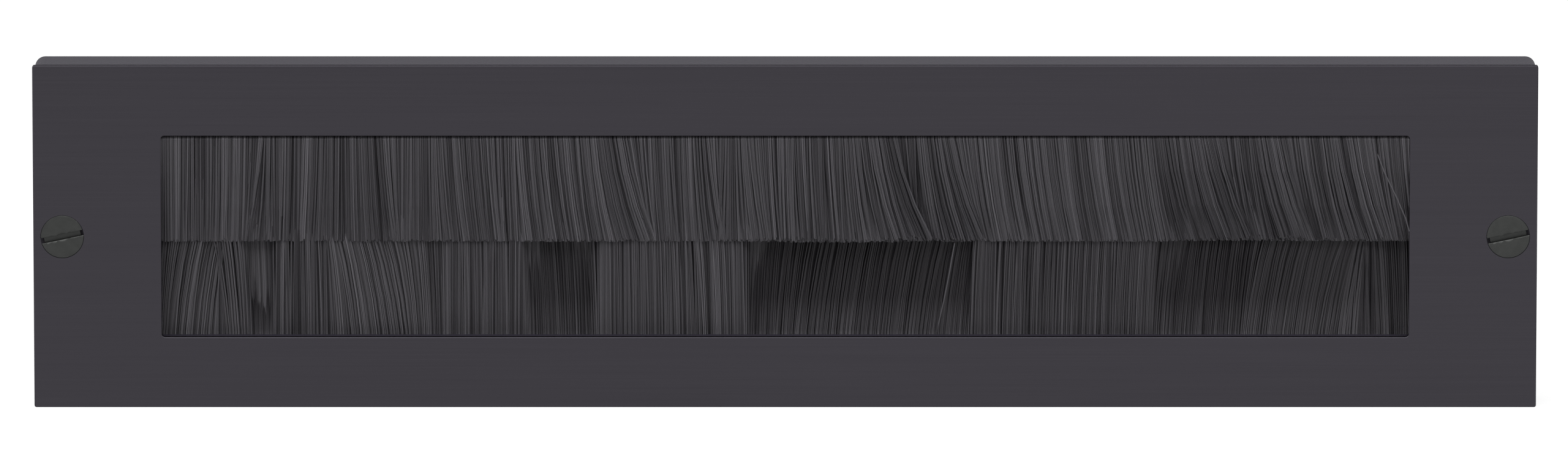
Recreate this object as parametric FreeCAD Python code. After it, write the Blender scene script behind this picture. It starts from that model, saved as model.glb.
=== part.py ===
import FreeCAD, Part
import os
from math import radians, sin, tan

# Letterbox draught excluder: a flat metal face plate over a moulded frame that carries two strip brushes.
# X runs along the length, the face looks along -Y, Z is up, and the back meets the door at y = 0.
# Lengths are in millimetres and angles in degrees.

# Face plate and the letter opening
PLATE_LENGTH = 338.0
PLATE_HEIGHT = 78.0
PLATE_THICKNESS = 1.5
PLATE_CORNER_RADIUS = 0.5
PLATE_EDGE_BREAK = 0.1
OPENING_LENGTH = 280.5
OPENING_HEIGHT = 46.0
OPENING_CORNER_RADIUS = 0.8

# Moulded frame behind the plate
FRAME_DEPTH = 12.5
FRAME_INSET = 0.15
FRAME_CORNER_RADIUS = 2.3
FRAME_EDGE_CHAMFER = 0.4
FRAME_WALL = 2.2
FRAME_END_RELIEF = 2.0
RIB_THICKNESS = 1.8
RIB_PITCH = 24.0
BOSS_DIAMETER = 11.0

# Strip brush: folded channel, core wire and bristles
CHANNEL_WIDTH = 3.0
CHANNEL_HEIGHT = 5.5
CHANNEL_WALL = 0.5
CHANNEL_BEND_RADIUS = 0.9
CHANNEL_SETBACK = 0.4
CHANNEL_SIDE_CLEARANCE = 0.05
CHANNEL_END_CLEARANCE = 0.3
CORE_WIRE_DIAMETER = 1.1
BRISTLE_OVERLAP = 3.0
ROW_CLEARANCE = 0.3
TUFT_COUNT = 112
TUFT_GAP = 0.5
TUFT_ROOT = 0.6
TUFT_RELIEF = 0.05
TUFT_RIDGE = 0.5
TUFT_RAGGED = 0.3
TUFT_RAGGED_STEP = 2.4

# Slotted countersunk wood screws
SCREW_END_DISTANCE = 6.5
SCREW_LENGTH = 38.0
HEAD_DIAMETER = 9.7
HEAD_ANGLE = 90.0
HEAD_LAND = 0.2
HEAD_CLEARANCE = 0.05
SHANK_DIAMETER = 4.8
SHANK_CLEARANCE = 0.2
THREAD_CORE_DIAMETER = 3.4
POINT_LENGTH = 5.0
SLOT_WIDTH = 1.25
SLOT_DEPTH = 1.1
SLOT_ANGLE = 12.0

# How the combed bristles lie: place along the row from -1 to 1, then the travel to the right per length
UPPER_LIE = (
    (-1.00, 0.0), (-0.88, -0.016), (-0.82, -0.063), (-0.79, 0.0), (-0.42, 0.04), (-0.34, 0.063),
    (-0.28, 0.055), (-0.05, 0.03), (0.02, 0.04), (0.20, 0.18), (0.30, 0.157), (0.34, 0.14),
    (0.56, 0.14), (0.62, 0.165), (0.78, 0.18), (0.90, 0.094), (1.00, 0.0),
)
LOWER_LIE = (
    (-1.00, 0.0), (-0.93, 0.078), (-0.82, 0.008), (-0.74, 0.0), (-0.60, -0.125), (-0.54, -0.03),
    (-0.20, 0.012), (-0.04, 0.016), (0.07, 0.11), (0.25, 0.125), (0.36, 0.035), (0.56, 0.035),
    (0.78, 0.14), (0.84, 0.125), (0.96, 0.008), (1.00, 0.0),
)

# Planes and outlines that follow from the sizes above
FRAME_FRONT = -FRAME_DEPTH
PLATE_FRONT = FRAME_FRONT - PLATE_THICKNESS
SCREW_SPACING = PLATE_LENGTH - 2 * SCREW_END_DISTANCE
FRAME_LENGTH = PLATE_LENGTH - 2 * FRAME_INSET
FRAME_HEIGHT = PLATE_HEIGHT - 2 * FRAME_INSET
FRAME_MOUTH_LENGTH = OPENING_LENGTH + 2 * FRAME_END_RELIEF
CORE_FRONT = FRAME_FRONT + FRAME_WALL
OPENING_EDGE = OPENING_HEIGHT / 2
CHANNEL_MOUTH = OPENING_EDGE + CHANNEL_SETBACK
GROOVE_FLOOR = CHANNEL_MOUTH + CHANNEL_HEIGHT
GROOVE_HALF_WIDTH = CHANNEL_WIDTH / 2 + CHANNEL_SIDE_CLEARANCE
STRIP_LENGTH = FRAME_MOUTH_LENGTH - 2 * CHANNEL_END_CLEARANCE
BUNDLE_THICKNESS = CHANNEL_WIDTH - 2 * CHANNEL_WALL
CORE_WIRE_HEIGHT = GROOVE_FLOOR - CHANNEL_WALL - BUNDLE_THICKNESS / 2
BRISTLE_TIP = -BRISTLE_OVERLAP / 2
UPPER_STRIP_DEPTH = FRAME_FRONT + GROOVE_HALF_WIDTH
LOWER_STRIP_DEPTH = UPPER_STRIP_DEPTH + BUNDLE_THICKNESS + ROW_CLEARANCE

ALONG_X = FreeCAD.Vector(1, 0, 0)
ALONG_Y = FreeCAD.Vector(0, 1, 0)
ALONG_Z = FreeCAD.Vector(0, 0, 1)
ORIGIN = FreeCAD.Vector(0, 0, 0)
SAME_PLACE = 1e-6


def block(x_span, y_span, z_span):
    """Box between the two ends of each span."""
    size = [span[1] - span[0] for span in (x_span, y_span, z_span)]
    return Part.makeBox(*size, FreeCAD.Vector(x_span[0], y_span[0], z_span[0]))


def centred(length):
    """Span of the given length about zero."""
    return (-length / 2, length / 2)


def edges_along(shape, direction):
    """Straight edges of a box that run along a direction."""
    return [edge for edge in shape.Edges if abs(edge.tangentAt(edge.FirstParameter).dot(direction)) > 0.999]


def edges_at_depth(shape, depth):
    """Edges that lie wholly in one plane across Y."""
    return [edge for edge in shape.Edges
            if all(abs(vertex.Y - depth) < SAME_PLACE for vertex in edge.Vertexes)]


def rounded_slab(length, height, radius, y_span):
    """Slab across Y, centred on the Y axis, with its four corners rounded."""
    slab = block(centred(length), y_span, centred(height))
    return slab.makeFillet(radius, edges_along(slab, ALONG_Y))


def lower_copy(upper_shape):
    """Lower copy of a shape that is drawn in the upper place."""
    return upper_shape.mirror(ORIGIN, ALONG_Z)


def screw_axis_point(side, depth):
    """Point on the axis of the left (-1) or right (1) screw."""
    return FreeCAD.Vector(side * SCREW_SPACING / 2, depth, 0)


def head_cone_depth(large_diameter, small_diameter):
    """Length of the countersunk cone between two diameters."""
    return (large_diameter - small_diameter) / 2 / tan(radians(HEAD_ANGLE / 2))


def screw_hole(side):
    """Countersunk clearance hole through the plate and the frame, from one screw's own sizes."""
    large = HEAD_DIAMETER + 2 * HEAD_CLEARANCE
    small = SHANK_DIAMETER + 2 * SHANK_CLEARANCE
    land = Part.makeCylinder(large / 2, HEAD_LAND, screw_axis_point(side, PLATE_FRONT), ALONG_Y)
    cone = Part.makeCone(large / 2, small / 2, head_cone_depth(large, small),
                         screw_axis_point(side, PLATE_FRONT + HEAD_LAND), ALONG_Y)
    bore = Part.makeCylinder(small / 2, -PLATE_FRONT, screw_axis_point(side, PLATE_FRONT), ALONG_Y)
    return land.fuse([cone, bore])


def face_plate():
    """Flat plate with the letter opening, its front edges lightly broken."""
    thickness = (PLATE_FRONT, FRAME_FRONT)
    plate = rounded_slab(PLATE_LENGTH, PLATE_HEIGHT, PLATE_CORNER_RADIUS, thickness)
    plate = plate.cut(rounded_slab(OPENING_LENGTH, OPENING_HEIGHT, OPENING_CORNER_RADIUS, thickness))
    plate = plate.makeChamfer(PLATE_EDGE_BREAK, edges_at_depth(plate, PLATE_FRONT))
    return plate.cut([screw_hole(-1), screw_hole(1)])


def brush_groove(strip_depth):
    """Groove in the top rail for a brush channel; the upper one is closed in front by the plate."""
    across = (strip_depth - GROOVE_HALF_WIDTH, strip_depth + GROOVE_HALF_WIDTH)
    return block(centred(FRAME_MOUTH_LENGTH), across, (0, GROOVE_FLOOR))


def rail_cores(strip_depth):
    """Pockets cored into the back of the top rail, stepped round the brush groove and parted by ribs."""
    outer = FRAME_HEIGHT / 2 - FRAME_WALL
    behind_groove = (strip_depth + GROOVE_HALF_WIDTH + FRAME_WALL, 0)
    count = max(1, round(FRAME_MOUTH_LENGTH / RIB_PITCH))
    pitch = FRAME_MOUTH_LENGTH / count
    cores = []
    for bay in range(count):
        start = -FRAME_MOUTH_LENGTH / 2 + bay * pitch
        x_span = (start + RIB_THICKNESS / 2, start + pitch - RIB_THICKNESS / 2)
        shallow = block(x_span, behind_groove, (OPENING_EDGE + FRAME_WALL, outer))
        deep = block(x_span, (CORE_FRONT, 0), (GROOVE_FLOOR + FRAME_WALL, outer))
        cores.append(shallow.fuse(deep))
    return cores


def post_core():
    """Pocket cored into the back of the right end post, round the screw boss and its ribs."""
    outer = FRAME_HEIGHT / 2 - FRAME_WALL
    x_span = (FRAME_MOUTH_LENGTH / 2 + FRAME_WALL, FRAME_LENGTH / 2 - FRAME_WALL)
    y_span = (CORE_FRONT, 0)
    pocket = block(x_span, y_span, (-outer, outer))
    boss = Part.makeCylinder(BOSS_DIAMETER / 2, -CORE_FRONT, screw_axis_point(1, CORE_FRONT), ALONG_Y)
    ribs = [block(x_span, y_span, (z - RIB_THICKNESS / 2, z + RIB_THICKNESS / 2))
            for z in (-OPENING_EDGE, 0, OPENING_EDGE)]
    return pocket.cut([boss] + ribs)


def backing_frame():
    """Moulded frame: outer wall, rails with brush grooves, end posts with bosses, and a cored back."""
    frame = rounded_slab(FRAME_LENGTH, FRAME_HEIGHT, FRAME_CORNER_RADIUS, (FRAME_FRONT, 0))
    frame = frame.makeChamfer(FRAME_EDGE_CHAMFER, edges_at_depth(frame, FRAME_FRONT))
    mouth = block(centred(FRAME_MOUTH_LENGTH), (FRAME_FRONT, 0), centred(OPENING_HEIGHT))
    frame = frame.cut([mouth, brush_groove(UPPER_STRIP_DEPTH), lower_copy(brush_groove(LOWER_STRIP_DEPTH))])
    lower_cores = [lower_copy(core) for core in rail_cores(LOWER_STRIP_DEPTH)]
    end_cores = [post_core(), post_core().mirror(ORIGIN, ALONG_X)]
    frame = frame.cut(rail_cores(UPPER_STRIP_DEPTH) + lower_cores + end_cores)
    return frame.cut([screw_hole(-1), screw_hole(1)])


def brush_channel(strip_depth):
    """Channel folded from strip steel, open downwards in the top rail."""
    def u_block(width, bend, z_span):
        bar = block(centred(STRIP_LENGTH), (strip_depth - width / 2, strip_depth + width / 2), z_span)
        back_edges = [edge for edge in edges_along(bar, ALONG_X)
                      if abs(edge.CenterOfMass.z - z_span[1]) < SAME_PLACE]
        return bar.makeFillet(bend, back_edges)

    outside = u_block(CHANNEL_WIDTH, CHANNEL_BEND_RADIUS, (CHANNEL_MOUTH, GROOVE_FLOOR))
    inside = u_block(BUNDLE_THICKNESS, CHANNEL_BEND_RADIUS - CHANNEL_WALL,
                     (CHANNEL_MOUTH, GROOVE_FLOOR - CHANNEL_WALL))
    return outside.cut(inside)


def core_wire(strip_depth):
    """Straight wire along the channel that the bristles are folded round."""
    start = FreeCAD.Vector(-STRIP_LENGTH / 2, strip_depth, CORE_WIRE_HEIGHT)
    return Part.makeCylinder(CORE_WIRE_DIAMETER / 2, STRIP_LENGTH, start, ALONG_X)


def lean_at(lie, place):
    """Lean at a place along the row, from the combed lie."""
    for (start, low), (end, high) in zip(lie, lie[1:]):
        if place <= end:
            return low + (high - low) * (place - start) / (end - start)
    return lie[-1][1]


def tuft(x, strip_depth, lie, index):
    """One leaning bundle of filaments, ridged front and back, from inside the channel to its cut tip."""
    half_width = (STRIP_LENGTH / TUFT_COUNT - TUFT_GAP) / 2
    ridge = BUNDLE_THICKNESS / 2 - TUFT_RELIEF
    shoulder = ridge - TUFT_RIDGE
    root_height = CHANNEL_MOUTH + TUFT_ROOT
    outline = [(-half_width, -shoulder), (0, -ridge), (half_width, -shoulder),
               (half_width, shoulder), (0, ridge), (-half_width, shoulder)]
    corners = [FreeCAD.Vector(x + dx, strip_depth + dy, root_height) for dx, dy in outline + outline[:1]]
    lean = lean_at(lie, x / (STRIP_LENGTH / 2))
    length = root_height - BRISTLE_TIP + TUFT_RAGGED * sin(TUFT_RAGGED_STEP * index)
    return Part.Face(Part.makePolygon(corners)).extrude(length * FreeCAD.Vector(lean, 0, -1))


def bristle_root(strip_depth):
    """Filaments packed in the channel, with a half round fold over the core wire."""
    def at(across, height):
        return FreeCAD.Vector(-STRIP_LENGTH / 2, strip_depth + across, height)

    half = BUNDLE_THICKNESS / 2
    front_foot, back_foot = at(-half, CHANNEL_MOUTH), at(half, CHANNEL_MOUTH)
    front_fold, back_fold = at(-half, CORE_WIRE_HEIGHT), at(half, CORE_WIRE_HEIGHT)
    fold = Part.Arc(back_fold, at(0, CORE_WIRE_HEIGHT + half), front_fold)
    outline = Part.Wire([Part.makeLine(front_foot, back_foot), Part.makeLine(back_foot, back_fold),
                         fold.toShape(), Part.makeLine(front_fold, front_foot)])
    packed = Part.Face(outline).extrude(STRIP_LENGTH * ALONG_X)
    return packed.cut(core_wire(strip_depth))


def bristle_row(strip_depth, lie):
    """Bristles folded round the core wire and combed into a row of tufts."""
    pitch = STRIP_LENGTH / TUFT_COUNT
    tufts = [tuft(-STRIP_LENGTH / 2 + (index + 0.5) * pitch, strip_depth, lie, index)
             for index in range(TUFT_COUNT)]
    return bristle_root(strip_depth).multiFuse(tufts)


def fixing_screw(side):
    """Slotted countersunk wood screw, turned, its thread left as the core that starts at the door."""
    head, shank, core = HEAD_DIAMETER / 2, SHANK_DIAMETER / 2, THREAD_CORE_DIAMETER / 2
    cone_end = HEAD_LAND + head_cone_depth(HEAD_DIAMETER, SHANK_DIAMETER)
    thread_start = -PLATE_FRONT
    profile = [(0, 0), (head, 0), (head, HEAD_LAND), (shank, cone_end), (shank, thread_start - shank + core),
               (core, thread_start), (core, SCREW_LENGTH - POINT_LENGTH), (0, SCREW_LENGTH), (0, 0)]
    outline = Part.makePolygon([FreeCAD.Vector(radius, along, 0) for radius, along in profile])
    screw = Part.Face(outline).revolve(ORIGIN, ALONG_Y, 360)
    slot = block(centred(2 * HEAD_DIAMETER), (0, SLOT_DEPTH), centred(SLOT_WIDTH))
    slot.rotate(ORIGIN, -ALONG_Y, SLOT_ANGLE)
    screw = screw.cut(slot)
    screw.translate(screw_axis_point(side, PLATE_FRONT))
    return screw


def build_pieces():
    """Every piece by its node name."""
    pieces = {
        "face_plate": face_plate(),
        "backing_frame": backing_frame(),
        "fixing_screws": Part.makeCompound([fixing_screw(-1), fixing_screw(1)]),
    }
    pieces["upper_brush_channel"] = brush_channel(UPPER_STRIP_DEPTH)
    pieces["upper_core_wire"] = core_wire(UPPER_STRIP_DEPTH)
    pieces["upper_bristles"] = bristle_row(UPPER_STRIP_DEPTH, UPPER_LIE)
    pieces["lower_brush_channel"] = lower_copy(brush_channel(LOWER_STRIP_DEPTH))
    pieces["lower_core_wire"] = lower_copy(core_wire(LOWER_STRIP_DEPTH))
    pieces["lower_bristles"] = lower_copy(bristle_row(LOWER_STRIP_DEPTH, LOWER_LIE))
    return pieces


os.makedirs("parts", exist_ok=True)
for node, shape in build_pieces().items():
    shape.exportStep(f"parts/{node}.step")
    print(node, "solids", len(shape.Solids), "valid", shape.isValid(), "volume", round(shape.Volume, 1))
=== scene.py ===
"""Looks of a letterbox draught excluder: a dark plate whose letter opening is closed by two combed brushes.

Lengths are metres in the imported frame: X runs along the plate, the face looks along -Y and Z is up.
"""

import bisect
import logging
import math
import random
from collections.abc import Iterator
from dataclasses import astuple, dataclass, field
from enum import Enum
from statistics import fmean

import bmesh
import bpy
from mathutils import Matrix, Vector


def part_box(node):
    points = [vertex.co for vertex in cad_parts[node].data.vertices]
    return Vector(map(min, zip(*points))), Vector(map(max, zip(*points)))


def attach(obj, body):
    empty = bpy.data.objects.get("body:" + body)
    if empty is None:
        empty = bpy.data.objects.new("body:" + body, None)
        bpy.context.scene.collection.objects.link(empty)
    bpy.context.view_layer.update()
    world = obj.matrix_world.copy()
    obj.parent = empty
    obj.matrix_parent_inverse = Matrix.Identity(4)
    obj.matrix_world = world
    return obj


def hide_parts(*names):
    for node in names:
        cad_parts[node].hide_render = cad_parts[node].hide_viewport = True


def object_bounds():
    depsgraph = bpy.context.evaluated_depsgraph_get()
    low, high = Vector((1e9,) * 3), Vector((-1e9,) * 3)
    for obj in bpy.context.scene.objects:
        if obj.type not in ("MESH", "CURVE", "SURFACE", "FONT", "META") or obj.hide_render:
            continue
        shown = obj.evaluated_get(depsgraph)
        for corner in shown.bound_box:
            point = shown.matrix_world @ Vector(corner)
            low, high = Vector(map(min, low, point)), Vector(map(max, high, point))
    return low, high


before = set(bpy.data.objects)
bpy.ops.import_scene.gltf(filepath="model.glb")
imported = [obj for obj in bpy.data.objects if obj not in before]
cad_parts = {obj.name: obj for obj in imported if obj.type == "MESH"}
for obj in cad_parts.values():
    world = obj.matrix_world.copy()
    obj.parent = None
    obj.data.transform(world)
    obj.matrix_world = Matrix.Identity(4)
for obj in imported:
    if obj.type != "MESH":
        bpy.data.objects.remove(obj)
CAD_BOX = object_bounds()

MM = 0.001
BODY = "root"
# Mesh attribute with each filament's tone, darkened by painted shade
TONE_AND_PAINTED_SHADE = "tone"
LOG = logging.getLogger("draught_excluder")
WHITE = "#FFFFFF"
GRAIN_ROUGHNESS = 0.6

# A curve that is swept at bevel resolution 0 gives a tube with this many sides
TUBE_SIDES = 4

Triple = tuple[float, float, float]


class Slot(Enum):
    """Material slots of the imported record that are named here."""

    PLATE = "face_plate"
    FRAME = "backing_frame"
    BRISTLES = "bristles"
    SCREWS = "fixing_screws"


class Row(Enum):
    """The two rows of bristles, each with the sign of Z of the rail that carries it."""

    UPPER = 1
    LOWER = -1

    @property
    def prefix(self) -> str:
        """Start of the names of the row's nodes and pieces."""
        return self.name.lower()


def to_linear(colour: str) -> tuple[float, float, float, float]:
    """Turns an sRGB hex colour into linear values.

    Args:
        colour: Six hex digits after a hash sign.

    Returns:
        Red, green, blue and an alpha of 1.
    """
    shares = (int(colour[start:start + 2], 16) / 255 for start in (1, 3, 5))
    red, green, blue = (s / 12.92 if s <= 0.04045 else ((s + 0.055) / 1.055) ** 2.4 for s in shares)
    return red, green, blue, 1.0


def add_node(tree: bpy.types.NodeTree, kind: str, settings: dict | None = None,
             links: dict | None = None) -> bpy.types.Node:
    """Adds one shader node with its settings and its links.

    Args:
        tree: The node tree that takes it.
        kind: Blender's type name of the node.
        settings: Values by the name of a property, or by the name or number of an input.
        links: Output sockets by the name or number of the input that they feed.

    Returns:
        The new node.
    """
    node = tree.nodes.new(kind)
    for name, value in (settings or {}).items():
        if isinstance(name, str) and hasattr(node, name):
            setattr(node, name, value)
        else:
            node.inputs[name].default_value = value
    for name, socket in (links or {}).items():
        tree.links.new(socket, node.inputs[name])
    return node


def add_verts(shape: bmesh.types.BMesh, places: list[Triple]) -> list[bmesh.types.BMVert]:
    """Adds a vertex at each place."""
    return [bmesh.ops.create_vert(shape, co=place)["vert"][0] for place in places]


def move_verts(shape: bmesh.types.BMesh, geometry: list, step: Triple | Vector) -> None:
    """Moves the vertices among what an operator made."""
    verts = [item for item in geometry if isinstance(item, bmesh.types.BMVert)]
    bmesh.ops.translate(shape, verts=verts, vec=step)


def first_face(geometry: list) -> bmesh.types.BMFace:
    """The first face among what an operator made."""
    return next(item for item in geometry if isinstance(item, bmesh.types.BMFace))


def extrude_face(shape: bmesh.types.BMesh, face: bmesh.types.BMFace, step: Vector) -> bmesh.types.BMFace:
    """Extrudes a face along a step.

    Args:
        shape: The shape that the face is part of.
        face: The face to extrude.
        step: How far its new end lies from it.

    Returns:
        The face at the new end.
    """
    made = bmesh.ops.extrude_face_region(shape, geom=[face])["geom"]
    move_verts(shape, made, step)
    return first_face(made)


@dataclass(frozen=True)
class Finish:
    """A material made of one Principled shader, its constants and a pattern.

    glance tints the reflection, and on a metal it dims what shows at a glancing angle.
    """

    name: str
    colour: str
    metallic: float
    roughness: float
    specular: float = 0.5
    glance: str = WHITE

    def material(self) -> bpy.types.Material:
        """Builds the material with its pattern.

        Returns:
            The new material.
        """
        material = bpy.data.materials.new(self.name)
        material.use_nodes = True
        tree = material.node_tree
        tree.nodes.clear()
        shader = add_node(tree, "ShaderNodeBsdfPrincipled", {
            "Base Color": to_linear(self.colour), "Metallic": self.metallic,
            "Roughness": self.roughness, "Specular IOR Level": self.specular,
            "Specular Tint": to_linear(self.glance)})
        add_node(tree, "ShaderNodeOutputMaterial", links={"Surface": shader.outputs["BSDF"]})
        self.pattern(tree, shader)
        return material

    def pattern(self, tree: bpy.types.NodeTree, shader: bpy.types.Node) -> None:
        """Adds what varies over the surface; a plain finish adds nothing.

        Args:
            tree: The node tree of the material.
            shader: The shader that the pattern feeds.
        """

    def grain(self, tree: bpy.types.NodeTree, size: Triple, octaves: float) -> bpy.types.NodeSocket:
        """Adds noise with its own size along each axis.

        Args:
            tree: The node tree that takes it.
            size: Size of one patch of the noise along X, Y and Z, in metres.
            octaves: Layers of finer noise.

        Returns:
            The noise's value.
        """
        place = add_node(tree, "ShaderNodeTexCoord")
        mapping = add_node(tree, "ShaderNodeMapping", {"Scale": [1 / length for length in size]},
                           {"Vector": place.outputs["Object"]})
        noise = add_node(tree, "ShaderNodeTexNoise",
                         {"Scale": 1.0, "Detail": octaves, "Roughness": GRAIN_ROUGHNESS},
                         {"Vector": mapping.outputs["Vector"]})
        return noise.outputs["Fac"]

    def shade(self, tree: bpy.types.NodeTree, shader: bpy.types.Node, value: bpy.types.NodeSocket,
              dark: str, light: str) -> None:
        """Lets a value choose the base colour between two tones.

        Args:
            tree: The node tree of the material.
            shader: The shader whose colour is driven.
            value: A number from 0 to 1.
            dark: Hex colour at 0.
            light: Hex colour at 1.
        """
        mix = add_node(tree, "ShaderNodeMix", {
            "data_type": "RGBA", 6: to_linear(dark), 7: to_linear(light)}, {0: value})
        tree.links.new(mix.outputs[2], shader.inputs["Base Color"])

    def relief(self, tree: bpy.types.NodeTree, shader: bpy.types.Node, value: bpy.types.NodeSocket,
               depth: float, strength: float) -> None:
        """Lets a value raise the surface as bump.

        Args:
            tree: The node tree of the material.
            shader: The shader whose normal is bent.
            value: Height as a number from 0 to 1.
            depth: Height of the relief in metres.
            strength: How much of it shows.
        """
        bump = add_node(tree, "ShaderNodeBump", {"Strength": strength, "Distance": depth},
                        {"Height": value})
        tree.links.new(bump.outputs["Normal"], shader.inputs["Normal"])


@dataclass(frozen=True)
class AnodisedAluminium(Finish):
    """Rolled sheet, brushed along its length and dyed dark grey: nearly even, with faint lines along it."""

    line_length: float = 45 * MM
    line_width: float = 0.3 * MM
    line_depth: float = 0.004 * MM
    line_strength: float = 0.35
    line_octaves: float = 3.0
    dark: str = "#3A383D"
    light: str = "#403E43"

    def pattern(self, tree: bpy.types.NodeTree, shader: bpy.types.Node) -> None:
        """Adds brushing lines, drawn coarser than real ones so that they show.

        Args:
            tree: The node tree of the material.
            shader: The shader that the lines feed.
        """
        lines = self.grain(tree, (self.line_length, self.line_width, self.line_width), self.line_octaves)
        self.shade(tree, shader, lines, self.dark, self.light)
        self.relief(tree, shader, lines, self.line_depth, self.line_strength)


@dataclass(frozen=True)
class MouldedAbs(Finish):
    """Injection moulded ABS with a spark-eroded texture: a fine even matt, brighter at a glancing angle."""

    texture_size: float = 0.35 * MM
    texture_depth: float = 0.012 * MM
    texture_strength: float = 0.3
    texture_octaves: float = 2.0
    dark: str = "#232028"
    light: str = "#2B2832"

    def pattern(self, tree: bpy.types.NodeTree, shader: bpy.types.Node) -> None:
        """Adds the mould texture, drawn a little coarse so that it shows.

        Args:
            tree: The node tree of the material.
            shader: The shader that the texture feeds.
        """
        pits = self.grain(tree, (self.texture_size,) * 3, self.texture_octaves)
        self.shade(tree, shader, pits, self.dark, self.light)
        self.relief(tree, shader, pits, self.texture_depth, self.texture_strength)


@dataclass(frozen=True)
class GalvanisedStrip(Finish):
    """Zinc-coated strip steel, folded: pale grey metal with soft spangles."""

    spangle_size: float = 3.0 * MM
    dark: str = "#878B8E"
    light: str = "#AEB2B4"

    def pattern(self, tree: bpy.types.NodeTree, shader: bpy.types.Node) -> None:
        """Adds zinc spangles as cells of differing tone.

        Args:
            tree: The node tree of the material.
            shader: The shader that the spangles feed.
        """
        place = add_node(tree, "ShaderNodeTexCoord")
        cells = add_node(tree, "ShaderNodeTexVoronoi", {"Scale": 1 / self.spangle_size},
                         {"Vector": place.outputs["Object"]})
        tone = add_node(tree, "ShaderNodeSeparateColor", links={"Color": cells.outputs["Color"]})
        self.shade(tree, shader, tone.outputs["Red"], self.dark, self.light)


@dataclass(frozen=True)
class DrawnWire(Finish):
    """Bright steel wire with the fine lengthwise scores of the drawing die."""

    score_length: float = 25 * MM
    score_width: float = 0.12 * MM
    score_octaves: float = 2.0
    dark: str = "#7C7B79"
    light: str = "#98979A"

    def pattern(self, tree: bpy.types.NodeTree, shader: bpy.types.Node) -> None:
        """Adds die scores along the wire."""
        scores = self.grain(tree, (self.score_length, self.score_width, self.score_width), self.score_octaves)
        self.shade(tree, shader, scores, self.dark, self.light)


@dataclass(frozen=True)
class DrawnPolypropylene(Finish):
    """Charcoal polypropylene filament, drawn smooth: satin, with one filament paler than the next and painted
    shade on the darker stretches of the rows.
    """

    dark: str = "#242225"
    light: str = "#7C7A7F"

    def pattern(self, tree: bpy.types.NodeTree, shader: bpy.types.Node) -> None:
        """Takes each filament's tone, painted shade included, from the mesh."""
        tone = add_node(tree, "ShaderNodeAttribute", {"attribute_name": TONE_AND_PAINTED_SHADE})
        self.shade(tree, shader, tone.outputs["Fac"], self.dark, self.light)


@dataclass(frozen=True)
class TurnedSteel(Finish):
    """Screw steel, turned and blackened with an oil oxide: dark neutral grey, with fine turning rings.

    The rings are drawn coarser than real ones so that they show. waves_per_unit is how many rings Blender's
    wave texture has to a unit of length at a scale of 1.
    """

    axis_distance: float = 162.5 * MM
    ring_spacing: float = 0.45 * MM
    ring_depth: float = 0.006 * MM
    ring_strength: float = 0.35
    ring_wobble: float = 0.4
    mottle_size: float = 1.6 * MM
    mottle_octaves: float = 4.0
    dark: str = "#393A39"
    light: str = "#464746"
    waves_per_unit: float = 20 / math.tau

    def pattern(self, tree: bpy.types.NodeTree, shader: bpy.types.Node) -> None:
        """Adds rings round the axis of each screw and a mottled oxide.

        Args:
            tree: The node tree of the material.
            shader: The shader that they feed.
        """
        place = add_node(tree, "ShaderNodeTexCoord")
        split = add_node(tree, "ShaderNodeSeparateXYZ", links={"Vector": place.outputs["Object"]})
        side = add_node(tree, "ShaderNodeMath", {"operation": "ABSOLUTE"}, {0: split.outputs["X"]})
        across = add_node(tree, "ShaderNodeMath", {"operation": "SUBTRACT", 1: self.axis_distance},
                          {0: side.outputs["Value"]})
        spot = add_node(tree, "ShaderNodeCombineXYZ",
                        links={"X": across.outputs["Value"], "Z": split.outputs["Z"]})
        rings = add_node(tree, "ShaderNodeTexWave", {
            "wave_type": "RINGS", "rings_direction": "SPHERICAL", "Distortion": self.ring_wobble,
            "Scale": 1 / (self.ring_spacing * self.waves_per_unit)}, {"Vector": spot.outputs["Vector"]})
        mottle = self.grain(tree, (self.mottle_size,) * 3, self.mottle_octaves)
        self.shade(tree, shader, mottle, self.dark, self.light)
        self.relief(tree, shader, rings.outputs["Fac"], self.ring_depth, self.ring_strength)


def dress_node(node: str, material: bpy.types.Material) -> None:
    """Gives a CAD node that stays its material.

    Args:
        node: Name of the node.
        material: The material for its only slot.
    """
    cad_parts[node].material_slots[0].material = material
    LOG.info("dressed %s in %s", node, material.name)


def add_piece(name: str, shape: bmesh.types.BMesh, material: bpy.types.Material, slot: Slot,
              node: str) -> bpy.types.Object:
    """Makes an object of a finished shape that stands for a CAD node.

    Args:
        name: Name of the piece.
        shape: The shape, in place; it is freed.
        material: Its material.
        slot: A slot of the record; not used.
        node: The CAD node that it replaces.

    Returns:
        The new object.
    """
    mesh = bpy.data.meshes.new(name)
    shape.to_mesh(mesh)
    shape.free()
    mesh.materials.append(material)
    piece = bpy.data.objects.new(name, mesh)
    bpy.context.scene.collection.objects.link(piece)
    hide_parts(node)
    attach(piece, BODY)
    LOG.info("made %s with %d faces for %s", name, len(mesh.polygons), node)
    return piece


@dataclass
class LetterPlate:
    """Face plate on its moulded frame. Both keep their shapes and take their finishes here."""

    metal: Finish = AnodisedAluminium("brushed_anodised_aluminium", "#3F3D42", metallic=1.0, roughness=0.34,
                                      glance="#858388")
    plastic: Finish = MouldedAbs("spark_textured_abs", "#27262A", metallic=0.0, roughness=0.6, specular=0.16)

    def dress(self) -> None:
        """Gives the plate and the frame their materials."""
        dress_node(Slot.PLATE.value, self.metal.material())
        dress_node(Slot.FRAME.value, self.plastic.material())


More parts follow.
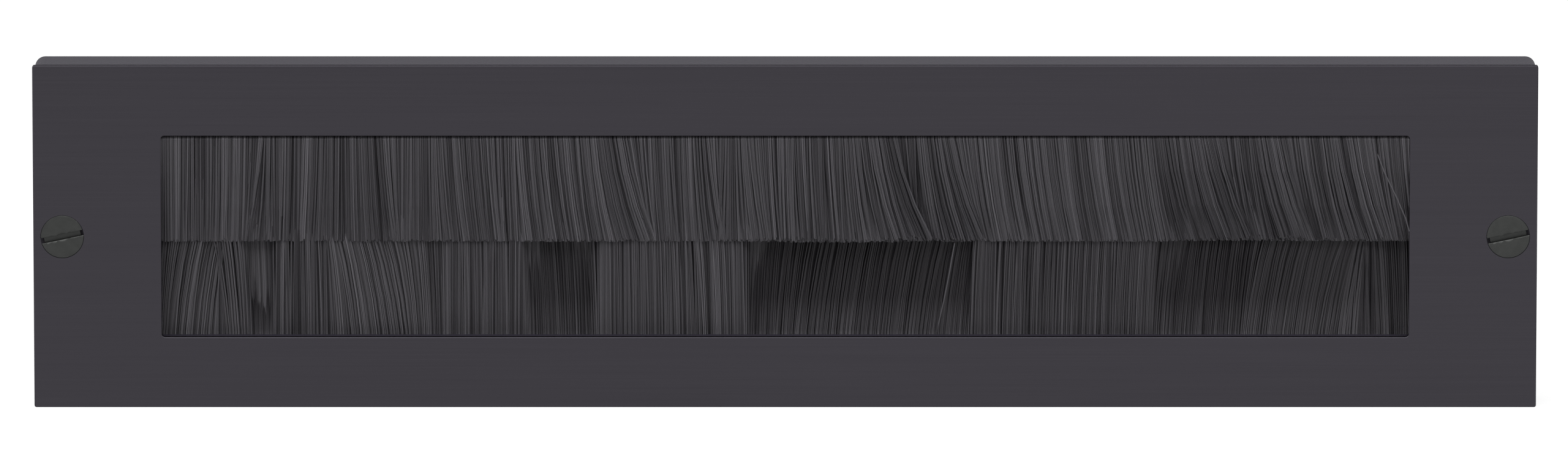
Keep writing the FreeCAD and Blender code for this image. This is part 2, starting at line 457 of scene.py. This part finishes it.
@dataclass(frozen=True)
class Comb:
    """How the bristles lie at one place along a row; between two places the lie changes evenly.

    place is in millimetres from the middle of the row, lean is travel to the right per length, forward is
    how far the tips stand before the strip in millimetres, ruffle is 0 for smooth and 1 for parted into
    locks, and shade is painted shade: the share of their tone that the filaments lose where they are darkest,
    standing for the shadow on stretches that are pushed back, parted or overhung by the other row.
    """

    place: float
    lean: float
    forward: float
    ruffle: float
    # painted shade: how much tone the filaments lose where the row lies in shadow
    shade: float = 0.0

    def towards(self, other: "Comb", share: float) -> "Comb":
        """Lie at a share of the way to another place."""
        return Comb(*(start + (end - start) * share for start, end in zip(astuple(self), astuple(other))))


def lie_at(combing: tuple[Comb, ...], place: float) -> Comb:
    """Lie at a place along a row, between the two nearest places of its combing.

    Args:
        combing: Lies in order along the row.
        place: Millimetres from the middle of the row.

    Returns:
        The lie there.
    """
    index = bisect.bisect_left(combing, place, 1, len(combing) - 1, key=lambda comb: comb.place)
    before, after = combing[index - 1], combing[index]
    share = (place - before.place) / (after.place - before.place)
    return before.towards(after, max(0.0, min(1.0, share)))


@dataclass(frozen=True)
class Lock:
    """A few filaments that cling together: their span along the row and how they differ from the next."""

    start: float
    end: float
    tone: float
    lean: float
    depth: float
    gather: float
    trim: float


@dataclass(frozen=True)
class Filament:
    """One filament: its points from root to tip, a tone from 0 to 1 for each with its painted shade, and a
    factor on its width.
    """

    line: list[Vector]
    tones_with_painted_shade: list[float]
    width: float = 1.0


# How each row is combed, from left to right as seen from the room; a fifth value is painted shade
UPPER_COMBING = (
    Comb(-142.0, 0.00, -0.6, 0.2), Comb(-121.0, -0.03, -0.6, 0.3), Comb(-117.2, -0.14, -0.4, 0.7, 0.2),
    Comb(-116.6, 0.00, -1.0, 0.5), Comb(-105.0, -0.05, -0.6, 0.3), Comb(-95.0, 0.04, -0.6, 0.2),
    Comb(-90.0, 0.09, -0.6, 0.2), Comb(-85.6, -0.02, -0.6, 0.3), Comb(-79.4, 0.01, -0.6, 0.3),
    Comb(-78.4, 0.07, -0.6, 0.3), Comb(-70.0, 0.09, -0.6, 0.2), Comb(-61.0, 0.02, -0.6, 0.3),
    Comb(-60.0, 0.10, -0.6, 0.4), Comb(-56.5, 0.10, -0.5, 0.5), Comb(-46.0, 0.11, -0.5, 0.5),
    Comb(-43.0, 0.16, -0.5, 0.5), Comb(-36.0, 0.27, -0.6, 0.5), Comb(-31.0, 0.06, -0.6, 0.3),
    Comb(-21.0, 0.05, -0.6, 0.3), Comb(-17.0, 0.14, -0.6, 0.4), Comb(-14.0, -0.05, -0.6, 0.4),
    Comb(-9.0, 0.11, -0.6, 0.5), Comb(-6.5, 0.09, 0.0, 0.8), Comb(0.0, 0.03, 0.2, 0.8),
    Comb(11.0, 0.05, 0.2, 0.8), Comb(20.0, 0.22, 0.0, 0.8), Comb(24.5, 0.34, -0.2, 0.9, 0.1),
    Comb(26.0, 0.16, -2.4, 1.0, 0.8), Comb(29.0, 0.07, -2.0, 1.0, 0.7), Comb(30.5, 0.14, -0.6, 0.8, 0.1),
    Comb(37.0, 0.28, -0.6, 0.9, 0.2), Comb(39.0, 0.22, -1.0, 0.9, 0.4), Comb(43.0, 0.14, -0.6, 0.3),
    Comb(60.0, 0.15, -0.6, 0.2), Comb(82.0, 0.15, -0.7, 0.3), Comb(84.0, 0.20, -1.6, 0.7, 0.3),
    Comb(87.0, 0.24, -2.6, 1.0, 0.5), Comb(88.4, 0.20, -2.2, 0.9, 0.4), Comb(97.5, 0.34, -2.2, 0.9, 0.4),
    Comb(99.5, 0.17, -3.0, 1.0, 0.45), Comb(103.0, 0.17, -2.0, 0.9, 0.1), Comb(111.5, 0.29, -1.6, 0.8),
    Comb(115.0, 0.20, -1.8, 0.8, 0.2), Comb(129.0, 0.26, -1.4, 0.6), Comb(133.0, 0.18, -1.2, 0.6, 0.1),
    Comb(142.0, 0.06, -1.2, 0.5, 0.1),
)
LOWER_COMBING = (
    Comb(-142.0, 0.04, 1.5, 0.6, 0.3), Comb(-138.0, 0.15, 1.5, 0.7, 0.3), Comb(-129.0, 0.15, 1.5, 0.8, 0.3),
    Comb(-125.5, -0.12, 1.6, 0.9, 0.25), Comb(-121.0, -0.05, 1.5, 0.9, 0.25),
    Comb(-119.6, -0.04, -1.6, 1.0, 1.0), Comb(-115.8, 0.02, -1.6, 1.0, 1.0), Comb(-114.8, 0.00, 1.5, 0.6),
    Comb(-104.0, -0.01, 1.6, 0.4, 0.15), Comb(-98.0, -0.14, 1.6, 0.5, 0.15), Comb(-87.0, -0.20, 1.6, 0.6),
    Comb(-80.4, -0.07, 1.5, 0.5, 0.2), Comb(-79.4, -0.05, 1.0, 0.6, 0.5), Comb(-76.0, 0.00, 1.5, 0.4),
    Comb(-59.5, 0.00, 1.6, 0.3), Comb(-57.0, -0.05, -0.7, 0.5, 0.75), Comb(-43.2, -0.04, -0.7, 0.5, 0.9),
    Comb(-41.8, 0.00, 1.6, 0.3), Comb(-21.0, -0.03, 1.6, 0.3), Comb(-17.0, -0.06, 1.6, 0.4),
    Comb(-9.5, -0.01, 1.6, 0.4), Comb(-7.5, 0.02, -1.1, 0.6, 0.97), Comb(4.0, 0.14, -1.2, 0.7, 1.0),
    Comb(30.0, 0.16, -1.2, 0.7, 1.0), Comb(40.8, 0.12, -1.0, 0.6, 1.0), Comb(42.0, 0.04, 1.4, 0.4, 0.4),
    Comb(60.0, 0.03, 1.4, 0.3, 0.4), Comb(82.0, 0.05, 1.3, 0.3, 0.4), Comb(84.0, 0.10, -1.0, 0.5, 0.97),
    Comb(100.0, 0.10, -1.2, 0.6, 1.0), Comb(108.0, 0.20, -1.0, 0.7, 1.0), Comb(124.0, 0.22, -0.7, 0.7, 0.85),
    Comb(131.0, 0.00, -0.6, 0.6, 0.62), Comb(134.0, -0.08, -0.6, 0.5, 0.7), Comb(142.0, 0.00, -0.6, 0.5, 0.8),
)

# Loose filaments of each row: points in millimetres from root to tip
UPPER_STRAYS = (
    ((132.4, -12.9, 20.3), (134.5, -13.9, 14.8), (137.4, -14.2, 8.8),
     (139.3, -14.3, 4.4), (140.2, -14.3, 1.3)),
)
LOWER_STRAYS = (
    ((34.1, -10.3, -22.5), (34.5, -10.8, -20.5), (35.7, -11.0, -15.1),
     (37.0, -11.0, -8.4), (38.1, -10.6, -2.1)),
)


@dataclass(frozen=True)
class Unevenness:
    """How far locks and filaments differ from their neighbours.

    A pair is the least and the most, and a single value is a standard deviation. Only front_place and
    back_place differ: they are the most that a filament is off its place, as a share of the pitch.
    """

    lock_width: tuple[float, float] = (0.4 * MM, 1.4 * MM)
    lock_tone: float = 0.045
    lock_lean: float = 0.022
    lock_depth: float = 0.3 * MM
    lock_gather: tuple[float, float] = (0.25, 0.65)
    lock_trim: tuple[float, float] = (0.0, 1.1 * MM)
    tone: float = 0.17
    # painted shade: least and most share of a lie's shade that a filament takes
    shade: tuple[float, float] = (0.75, 1.0)
    lean: float = 0.002
    loose_lean: float = 0.004
    push: float = 0.06 * MM
    front_place: float = 0.45
    back_place: float = 0.15


@dataclass
class BrushStrip:
    """One strip brush: a folded channel, the wire in it and the filaments folded round the wire.

    The front of the row bows out by swell, which bow_start and bow_bend shape. bend_out and bend_back shape
    tips that stand forward or back. evening is how far along the row the lie of the back filaments is evened
    out, and over end_span, in millimetres, the row's ends turn upright. packed and tip_depth are the depth
    of the bundle at its root and tips, and spread and fluff let it grow where it bows or is ruffled. curl is
    the share of the lean that comes towards the tips. A filament's looseness is middle_looseness in the
    middle of the bundle and falls by looseness_loss towards the back. Those that lie within thick_layers, on
    a scale from -1 at the front to 1 at the back, are thick_width times as wide. stations are the shares of a
    filament's length that get a point, and painted_shading is how much of the painted shade each one takes.
    """

    row: Row
    combing: tuple[Comb, ...]
    bristle: bpy.types.Material
    seed: int
    strays: tuple[tuple[Triple, ...], ...]
    uneven: Unevenness = Unevenness()
    filament_radius: float = 0.17 * MM
    layers: int = 6
    per_layer: int = 905
    wall: float = 0.5 * MM
    fold_steps: int = 8
    ragged: float = 0.45 * MM
    swell: float = 2.1 * MM
    bow_start: float = 0.05
    bow_bend: float = 0.8
    bend_out: float = 1.4
    bend_back: float = 2.2
    evening: float = 9 * MM
    end_span: float = 14.0
    packed: float = 1.8 * MM
    spread: float = 0.4
    tip_depth: float = 0.45 * MM
    fluff: float = 0.5
    curl: float = 0.5
    middle_looseness: float = 0.6
    looseness_loss: float = 1.6
    thick_layers: tuple[float, float] = (0.0, 0.66)
    thick_width: float = 1.7
    tone: float = 0.47
    stray_tone: float = 0.42
    stations: tuple[float, ...] = (-0.04, 0.05, 0.35, 0.68, 1.0)
    # painted shade: the share of a lie's shade that each station of a filament takes
    painted_shading: tuple[float, ...] = (0.0, 0.22, 0.59, 0.82, 1.0)
    draw: random.Random = field(init=False)
    wire_centre: Vector = field(init=False)
    wire_radius: float = field(init=False)
    half_bundle: float = field(init=False)
    mouth: float = field(init=False)
    length: float = field(init=False)
    half_row: float = field(init=False)
    evened: tuple[Comb, ...] = field(init=False)
    locks: list[Lock] = field(init=False)
    lock_starts: list[float] = field(init=False)

    def __post_init__(self) -> None:
        """Reads the strip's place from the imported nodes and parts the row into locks."""
        self.draw = random.Random(self.seed)
        channel_low, channel_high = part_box(f"{self.row.prefix}_brush_channel")
        wire_low, wire_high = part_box(f"{self.row.prefix}_core_wire")
        bristle_low, bristle_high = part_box(f"{self.row.prefix}_bristles")
        self.wire_centre = (wire_low + wire_high) / 2
        self.wire_radius = (wire_high.z - wire_low.z) / 2
        self.half_bundle = (channel_high.y - channel_low.y) / 2 - self.wall
        if self.row is Row.UPPER:
            self.mouth, tip = channel_low.z, bristle_low.z
        else:
            self.mouth, tip = -channel_high.z, -bristle_high.z
        self.length = self.mouth - tip - self.ragged
        self.half_row = channel_high.x - self.filament_radius
        self.evened = tuple(self.even_out())
        self.locks = list(self.part_locks())
        self.lock_starts = [lock.start for lock in self.locks]

    def part_locks(self) -> Iterator[Lock]:
        """Parts the row into locks of uneven width.

        Yields:
            The locks from left to right.
        """
        uneven, draw = self.uneven, self.draw
        start = -self.half_row
        while start < self.half_row:
            end = start + draw.uniform(*uneven.lock_width)
            yield Lock(start, end, tone=draw.gauss(0, uneven.lock_tone), lean=draw.gauss(0, uneven.lock_lean),
                       depth=draw.gauss(0, uneven.lock_depth), gather=draw.uniform(*uneven.lock_gather),
                       trim=draw.uniform(*uneven.lock_trim))
            start = end

    def even_out(self) -> Iterator[Comb]:
        """Evens out the combing for the back filaments, which stand upright at the row's ends.

        Yields:
            Their lie at every millimetre.
        """
        reach = round(self.evening / MM)
        end = math.ceil(self.half_row / MM)
        for place in range(-end, end + 1):
            near = [lie_at(self.combing, place + step) for step in range(-reach, reach + 1)]
            _, lean, *others = (fmean(values) for values in zip(*map(astuple, near)))
            yield Comb(place, lean * min(1.0, (end - abs(place)) / self.end_span), *others)

    def bow(self, share: float) -> float:
        """How far the row's front bows out: 0 at the channel, 1 just below it and 0 at the tips."""
        return min(share / self.bow_start, 1.0) * (1 - share) ** self.bow_bend

    def travel(self, forward: float, share: float) -> float:
        """How far a row that ends forward of its strip, or behind it, has come at a share of its length."""
        return forward * share ** (self.bend_out if forward > 0 else self.bend_back)

    def filament(self, x: float, depth: float) -> Filament:
        """Lays one filament. Those in the middle of the bundle are thicker, so that the row closes.

        Args:
            x: Where it leaves the channel along the row.
            depth: Its place across the bundle, from -1 at the front to 1 at the back.

        Returns:
            The filament.
        """
        uneven, draw = self.uneven, self.draw
        looseness = max(0.0, min(1.0, self.middle_looseness - self.looseness_loss * depth))
        lie = lie_at(self.evened, x / MM).towards(lie_at(self.combing, x / MM), looseness)
        lock = self.locks[bisect.bisect_right(self.lock_starts, x) - 1]
        loose = looseness * lie.ruffle
        lean = lie.lean + lock.lean * loose + draw.gauss(0, uneven.lean + uneven.loose_lean * looseness)
        gather = lock.gather * loose * ((lock.start + lock.end) / 2 - x)
        reach = self.length + self.ragged * draw.uniform(-0.5, 0.5) * (1 + lie.ruffle)
        reach -= lock.trim * loose * lie.ruffle
        push = draw.gauss(0, uneven.push) + lock.depth * loose
        tip_depth = self.tip_depth * (1 + self.fluff * lie.ruffle)
        line = []
        for share in self.stations:
            out = max(share, 0.0)
            bulge = self.swell * self.bow(out)
            front = self.wire_centre.y - self.packed / 2 - bulge - self.travel(lie.forward * MM, out)
            thickness = self.packed + (tip_depth - self.packed) * out + self.spread * bulge
            place = x + lean * reach * ((1 - self.curl) * out + self.curl * out * out) + gather * out
            place = max(-self.half_row, min(self.half_row, place))
            line.append(Vector((place, front + (depth + 1) / 2 * thickness + push * out,
                                self.row.value * (self.mouth - share * reach))))
        tone = max(0.0, min(1.0, self.tone + lock.tone + draw.gauss(0, uneven.tone)))
        # painted shade: the tone darkens by the lie's shade, varied from filament to filament and along it by
        # station
        least, most = uneven.shade
        shade = lie.shade * draw.triangular(least, most, most)
        tones_with_painted_shade = [tone * (1 - shade * part) for part in self.painted_shading]
        front_limit, back_limit = self.thick_layers
        return Filament(line, tones_with_painted_shade, self.thick_width if front_limit < depth < back_limit else 1.0)

    def filaments(self) -> Iterator[Filament]:
        """Lays every filament of the row, layer by layer.

        Yields:
            The combed filaments from front to back, and then the strays.
        """
        pitch = 2 * self.half_row / self.per_layer
        for layer in range(self.layers):
            depth = (2 * layer + 1) / self.layers - 1
            off_place = self.uneven.front_place if depth < 0 else self.uneven.back_place
            for index in range(self.per_layer):
                x = -self.half_row + (index + 0.5 + off_place * self.draw.uniform(-1, 1)) * pitch
                yield self.filament(x, depth + self.draw.uniform(-0.5, 0.5) / self.layers)
        for stray in self.strays:
            yield Filament([Vector(point) * MM for point in stray], [self.stray_tone] * len(stray))

    def combed_mesh(self) -> bpy.types.Mesh:
        """Sweeps every filament along its line and stores its tones, painted shade included, on the mesh.

        Returns:
            The mesh of open tubes.
        """
        curve = bpy.data.curves.new(f"{self.row.prefix}_lines", "CURVE")
        curve.dimensions = "3D"
        curve.bevel_depth = self.filament_radius
        curve.bevel_resolution = 0
        curve.use_fill_caps = False
        tones_with_painted_shade = []
        for filament in self.filaments():
            spline = curve.splines.new("POLY")
            spline.use_smooth = False
            spline.points.add(len(filament.line) - 1)
            spline.points.foreach_set("co", [value for point in filament.line for value in (*point, 1.0)])
            spline.points.foreach_set("radius", [filament.width] * len(filament.line))
            tones_with_painted_shade += filament.tones_with_painted_shade
        lines = bpy.data.objects.new(curve.name, curve)
        mesh = bpy.data.meshes.new_from_object(lines)
        bpy.data.objects.remove(lines)
        bpy.data.curves.remove(curve)
        attribute = mesh.attributes.new(TONE_AND_PAINTED_SHADE, "FLOAT", "POINT")
        attribute.data.foreach_set("value", [tone for tone in tones_with_painted_shade for _ in range(TUBE_SIDES)])
        return mesh

    def add_fold(self, shape: bmesh.types.BMesh) -> None:
        """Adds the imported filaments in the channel, folded over the wire.

        Args:
            shape: The row's shape, which gets the fold.
        """
        side = self.row.value
        foot, crown = self.mouth + self.filament_radius, abs(self.wire_centre.z)
        left, right = -self.half_row, self.half_row
        inner, outer = self.wire_centre.y + self.wire_radius, self.wire_centre.y + self.half_bundle
        corners = [(left, inner), (right, inner), (right, outer), (left, outer)]
        end = shape.faces.new(add_verts(shape, [(x, y, side * foot) for x, y in corners]))
        lift = Vector((0, 0, side * (crown - foot)))
        upright = extrude_face(shape, end, lift)
        over = first_face(bmesh.ops.spin(
            shape, geom=[upright], cent=self.wire_centre, axis=(1, 0, 0), angle=side * math.pi,
            steps=self.fold_steps, use_merge=False)["geom_last"])
        extrude_face(shape, over, -lift)
        bmesh.ops.delete(shape, geom=[upright, over], context="FACES_ONLY")

    def build(self) -> bpy.types.Object:
        """Makes the row of filaments with its fold in the channel.

        Returns:
            The finished row.
        """
        mesh = self.combed_mesh()
        shape = bmesh.new()
        shape.from_mesh(mesh)
        bpy.data.meshes.remove(mesh)
        open_edges = [edge for edge in shape.edges if edge.is_boundary]
        bmesh.ops.holes_fill(shape, edges=open_edges, sides=TUBE_SIDES)
        self.add_fold(shape)
        bmesh.ops.recalc_face_normals(shape, faces=shape.faces)
        return add_piece(f"{self.row.prefix}_filaments", shape, self.bristle, Slot.BRISTLES,
                         f"{self.row.prefix}_bristles")

    def dress(self, zinc: bpy.types.Material, wire: bpy.types.Material) -> None:
        """Gives the channel and the wire, which keep their shapes, their materials."""
        dress_node(f"{self.row.prefix}_brush_channel", zinc)
        dress_node(f"{self.row.prefix}_core_wire", wire)


@dataclass
class FixingScrews:
    """The two slotted countersunk wood screws, turned, milled and threaded.

    thread_half_base is half the width of the thread's foot as a share of the pitch, bare_point is the share
    of the point that has no thread, and thread_end is the share of its height that the thread has at its
    ends.
    """

    steel: Finish = TurnedSteel("oil_blacked_turned_steel", "#404140", metallic=0.75, roughness=0.42,
                                glance="#6C6C6C")
    head_radius: float = 4.85 * MM
    crown: float = 0.16 * MM
    crown_stations: tuple[float, ...] = (0.0, 0.3, 0.6, 0.85, 1.0)
    rim: float = 0.12 * MM
    rim_step: float = 0.3
    land: float = 0.2 * MM
    shank_radius: float = 2.4 * MM
    core_radius: float = 1.7 * MM
    thread_start: float = 14.0 * MM
    point_length: float = 5.0 * MM
    length: float = 38.0 * MM
    pitch: float = 1.95 * MM
    thread_half_base: float = 0.32
    thread_sunk: float = 0.06 * MM
    thread_end: float = 0.3
    bare_point: float = 0.6
    slot_width: float = 1.25 * MM
    slot_depth: float = 0.9 * MM
    slot_angle: float = math.radians(12)
    turn_steps: int = 48
    thread_steps: int = 24
    merge_distance: float = 0.002 * MM

    def profile(self) -> list[Triple]:
        """Draws the outline of the blank.

        Returns:
            Points with the radius as X and the distance behind the face as Y, from the crown to the point.
        """
        head, shank, core = self.head_radius, self.shank_radius, self.core_radius
        flat, step = head - self.rim, self.rim_step * self.rim
        crown = [(flat * share, -self.crown * (1 - share ** 2)) for share in self.crown_stations]
        rim = [(head - step, step), (head, self.rim), (head, self.land)]
        runout = self.thread_start - shank + core
        body = [(shank, self.land + head - shank), (shank, runout), (core, self.thread_start),
                (core, self.length - self.point_length), (0.0, self.length)]
        return [(radius, along, 0.0) for radius, along in crown + rim + body]

    def blank(self) -> bmesh.types.BMesh:
        """Turns the screw about Y with the middle of its face at the origin, and cuts the slot.

        Returns:
            The slotted blank.
        """
        shape = bmesh.new()
        ring = add_verts(shape, self.profile())
        edges = [shape.edges.new(pair) for pair in zip(ring, ring[1:])]
        bmesh.ops.spin(shape, geom=ring + edges, cent=(0, 0, 0), axis=(0, 1, 0), angle=math.tau,
                       steps=self.turn_steps, use_merge=True)
        bmesh.ops.remove_doubles(shape, verts=shape.verts, dist=self.merge_distance)
        bmesh.ops.recalc_face_normals(shape, faces=shape.faces)
        for face in shape.faces:
            face.smooth = True
        return self.slotted(shape)

    def slotted(self, shape: bmesh.types.BMesh) -> bmesh.types.BMesh:
        """Mills the driver slot across the head.

        Args:
            shape: The turned blank; it is freed.

        Returns:
            The blank with its slot.
        """
        cutter = bmesh.new()
        bmesh.ops.create_cube(cutter, size=1.0)
        past_the_head = 3 * self.head_radius
        place = (Matrix.Rotation(-self.slot_angle, 4, "Y")
                 @ Matrix.Translation((0, (self.slot_depth - self.crown) / 2, 0))
                 @ Matrix.Diagonal((past_the_head, self.slot_depth + self.crown, self.slot_width, 1)))
        bmesh.ops.transform(cutter, matrix=place, verts=cutter.verts)
        made = []
        for name, part in (("screw_blank", shape), ("slot_cutter", cutter)):
            mesh = bpy.data.meshes.new(name)
            part.to_mesh(mesh)
            part.free()
            made.append(bpy.data.objects.new(name, mesh))
            bpy.context.scene.collection.objects.link(made[-1])
        cut = made[0].modifiers.new("slot", "BOOLEAN")
        cut.operation, cut.object, cut.solver = "DIFFERENCE", made[1], "EXACT"
        graph = bpy.context.evaluated_depsgraph_get()
        milled = bpy.data.meshes.new_from_object(made[0].evaluated_get(graph))
        slotted = bmesh.new()
        slotted.from_mesh(milled)
        for item in made:
            mesh = item.data
            bpy.data.objects.remove(item)
            bpy.data.meshes.remove(mesh)
        bpy.data.meshes.remove(milled)
        return slotted

    def core_at(self, along: float) -> float:
        """Radius of the thread's core at a distance behind the face, down to the point."""
        return self.core_radius * min(1.0, max(0.0, (self.length - along) / self.point_length))

    def add_thread(self, shape: bmesh.types.BMesh) -> None:
        """Winds the thread's ridge round the core, rising at its start and fading on the point.

        Args:
            shape: The slotted blank, which gets the thread.
        """
        half_base = self.thread_half_base * self.pitch
        foot = self.core_radius - self.thread_sunk
        before = set(shape.verts)
        corners = add_verts(shape, [(foot, self.thread_start - half_base, 0),
                                    (self.shank_radius, self.thread_start, 0),
                                    (foot, self.thread_start + half_base, 0)])
        turns = (self.length - self.thread_start - self.bare_point * self.point_length) / self.pitch
        steps = round(turns * self.thread_steps)
        bmesh.ops.spin(shape, geom=[shape.faces.new(corners)], cent=(0, 0, 0), axis=(0, 1, 0),
                       dvec=(0, turns * self.pitch / steps, 0), angle=turns * math.tau, steps=steps,
                       use_merge=False)
        end = self.thread_start + turns * self.pitch
        for vert in set(shape.verts) - before:
            radius = math.hypot(vert.co.x, vert.co.z)
            rise = radius - self.core_radius
            turns_from_end = min(vert.co.y - self.thread_start, end - vert.co.y) / self.pitch
            if rise > 0:
                rise *= max(0.0, min(1.0, turns_from_end + self.thread_end))
            scale = (self.core_at(vert.co.y) + rise) / radius
            vert.co.x *= scale
            vert.co.z *= scale
        open_edges = [edge for edge in shape.edges if edge.is_boundary]
        bmesh.ops.holes_fill(shape, edges=open_edges, sides=len(corners))

    def build(self) -> bpy.types.Object:
        """Makes both screws as one piece in their places.

        Returns:
            The finished pair.
        """
        low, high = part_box(Slot.SCREWS.value)
        pair = self.blank()
        self.add_thread(pair)
        bmesh.ops.recalc_face_normals(pair, faces=pair.faces)
        axis = high.x - self.head_radius
        bmesh.ops.translate(pair, verts=pair.verts, vec=(-axis, low.y, 0))
        copy = bmesh.ops.duplicate(pair, geom=pair.verts[:] + pair.edges[:] + pair.faces[:])["geom"]
        move_verts(pair, copy, (2 * axis, 0, 0))
        return add_piece("slotted_screws", pair, self.steel.material(), Slot.SCREWS, Slot.SCREWS.value)


@dataclass
class Studio:
    """Camera at the photograph's angle, one large soft lamp, a white surround and a pale floor."""

    photo_size: tuple[int, int] = (2560, 742)
    plate_middle_px: tuple[float, float] = (1282.0, 387.0)
    view_width: float = 352.4 * MM
    elevation: float = math.radians(10)
    distance: float = 4.0
    sensor: float = 36.0
    key_level: float = 0.62
    key_elevation: float = math.radians(66)
    key_azimuth: float = math.radians(-12)
    key_distance: float = 1.3
    key_size: tuple[float, float] = (3.0, 0.9)
    ambient: float = 0.38
    floor_albedo: float = 0.3
    floor_glow: float = 0.8
    floor_size: float = 6.0

    def direction(self, azimuth: float, elevation: float) -> Vector:
        """Unit vector from the plate to something that stands before it at an azimuth and elevation."""
        level = math.cos(elevation)
        return Vector((math.sin(azimuth) * level, -math.cos(azimuth) * level, math.sin(elevation)))

    def add_camera(self) -> None:
        """Aims the camera so that the middle of the plate's face falls on its pixel."""
        low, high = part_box(Slot.PLATE.value)
        middle = Vector(((low.x + high.x) / 2, low.y, (low.z + high.z) / 2))
        back = self.direction(0.0, self.elevation)
        up = Vector((0, math.sin(self.elevation), math.cos(self.elevation)))
        pixel = self.view_width / self.photo_size[0]
        right_of_middle = self.photo_size[0] / 2 - self.plate_middle_px[0]
        above_middle = self.plate_middle_px[1] - self.photo_size[1] / 2
        aim = middle + pixel * (Vector((right_of_middle, 0, 0)) + above_middle * up)
        data = bpy.data.cameras.new("photo_camera")
        data.sensor_width = self.sensor
        data.lens = self.sensor * self.distance / self.view_width
        data.clip_end = 10 * self.distance
        camera = bpy.data.objects.new("photo_camera", data)
        camera.location = aim + self.distance * back
        camera.rotation_euler = back.to_track_quat("Z", "Y").to_euler()
        bpy.context.scene.collection.objects.link(camera)
        bpy.context.scene.camera = camera

    def add_key(self) -> None:
        """Hangs the soft lamp above and before the plate, at the level that lights the face as it should."""
        data = bpy.data.lights.new("soft_key", "AREA")
        data.shape = "RECTANGLE"
        data.size, data.size_y = self.key_size
        data.energy = self.key_level / math.cos(self.key_elevation) * (math.pi * self.key_distance) ** 2
        back = self.direction(self.key_azimuth, self.key_elevation)
        lamp = bpy.data.objects.new("soft_key", data)
        lamp.location = self.key_distance * back
        lamp.rotation_euler = back.to_track_quat("Z", "Y").to_euler()
        bpy.context.scene.collection.objects.link(lamp)

    def seen_directly(self, tree: bpy.types.NodeTree) -> bpy.types.NodeSocket:
        """Adds a value that tells rays which show a surface from those which only light others.

        Args:
            tree: The node tree that takes it.

        Returns:
            1 for camera, glossy and transmission rays and 0 for the rest.
        """
        path = add_node(tree, "ShaderNodeLightPath")
        either = add_node(tree, "ShaderNodeMath", {"operation": "MAXIMUM"},
                          {0: path.outputs["Is Camera Ray"], 1: path.outputs["Is Glossy Ray"]})
        any_of_them = add_node(tree, "ShaderNodeMath", {"operation": "MAXIMUM"},
                               {0: either.outputs["Value"], 1: path.outputs["Is Transmission Ray"]})
        return any_of_them.outputs["Value"]

    def add_surround(self) -> None:
        """Makes a world that is white to look at and gives a plain ambient light."""
        world = bpy.data.worlds.new("white_surround")
        world.use_nodes = True
        tree = world.node_tree
        tree.nodes.clear()
        level = add_node(tree, "ShaderNodeMapRange", {"To Min": self.ambient, "To Max": 1.0},
                         {"Value": self.seen_directly(tree)})
        light = add_node(tree, "ShaderNodeBackground", {"Color": to_linear(WHITE)},
                         {"Strength": level.outputs["Result"]})
        add_node(tree, "ShaderNodeOutputWorld", links={"Surface": light.outputs["Background"]})
        bpy.context.scene.world = world

    def add_floor(self) -> None:
        """Lays a pale floor under the plate that looks white and keeps the shadow."""
        material = bpy.data.materials.new("pale_floor")
        material.use_nodes = True
        tree = material.node_tree
        tree.nodes.clear()
        matt = add_node(tree, "ShaderNodeBsdfDiffuse", {"Color": (*(self.floor_albedo,) * 3, 1.0)})
        level = add_node(tree, "ShaderNodeMath", {"operation": "MULTIPLY", 1: self.floor_glow},
                         {0: self.seen_directly(tree)})
        glow = add_node(tree, "ShaderNodeEmission", {"Color": to_linear(WHITE)},
                        {"Strength": level.outputs["Value"]})
        both = add_node(tree, "ShaderNodeAddShader",
                        links={0: matt.outputs["BSDF"], 1: glow.outputs["Emission"]})
        add_node(tree, "ShaderNodeOutputMaterial", links={"Surface": both.outputs["Shader"]})
        shape = bmesh.new()
        bmesh.ops.create_grid(shape, x_segments=1, y_segments=1, size=self.floor_size / 2,
                              matrix=Matrix.Translation((0, 0, CAD_BOX[0].z)))
        mesh = bpy.data.meshes.new("floor")
        shape.to_mesh(mesh)
        shape.free()
        mesh.materials.append(material)
        floor = bpy.data.objects.new("floor", mesh)
        bpy.context.scene.collection.objects.link(floor)

    def build(self) -> None:
        """Sets up everything that isn't part of the object."""
        bpy.context.scene.view_settings.view_transform = "Standard"
        self.add_camera()
        self.add_key()
        self.add_surround()
        self.add_floor()


def main() -> None:
    """Builds the pieces in order, then the studio."""
    logging.basicConfig(level=logging.INFO, format="%(name)s: %(message)s")
    LetterPlate().dress()
    zinc = GalvanisedStrip("galvanised_strip_steel", "#9EA2A5", metallic=1.0, roughness=0.42).material()
    wire = DrawnWire("drawn_steel_wire", "#8A8A88", metallic=1.0, roughness=0.3).material()
    bristle = DrawnPolypropylene("drawn_polypropylene", "#4C4A4E", metallic=0.0, roughness=0.42,
                                 specular=0.2).material()
    upper = BrushStrip(Row.UPPER, UPPER_COMBING, bristle, seed=11, strays=UPPER_STRAYS)
    lower = BrushStrip(Row.LOWER, LOWER_COMBING, bristle, seed=23, strays=LOWER_STRAYS, swell=0.0,
                       bend_out=1.0, bend_back=0.6, tip_depth=0.5 * MM, fluff=3.0, tone=0.43,
                       painted_shading=(0.0, 0.48, 0.97, 1.0, 0.88))
    for strip in (upper, lower):
        strip.build()
        strip.dress(zinc, wire)
    FixingScrews().build()
    Studio().build()


if __name__ == "__main__":
    main()
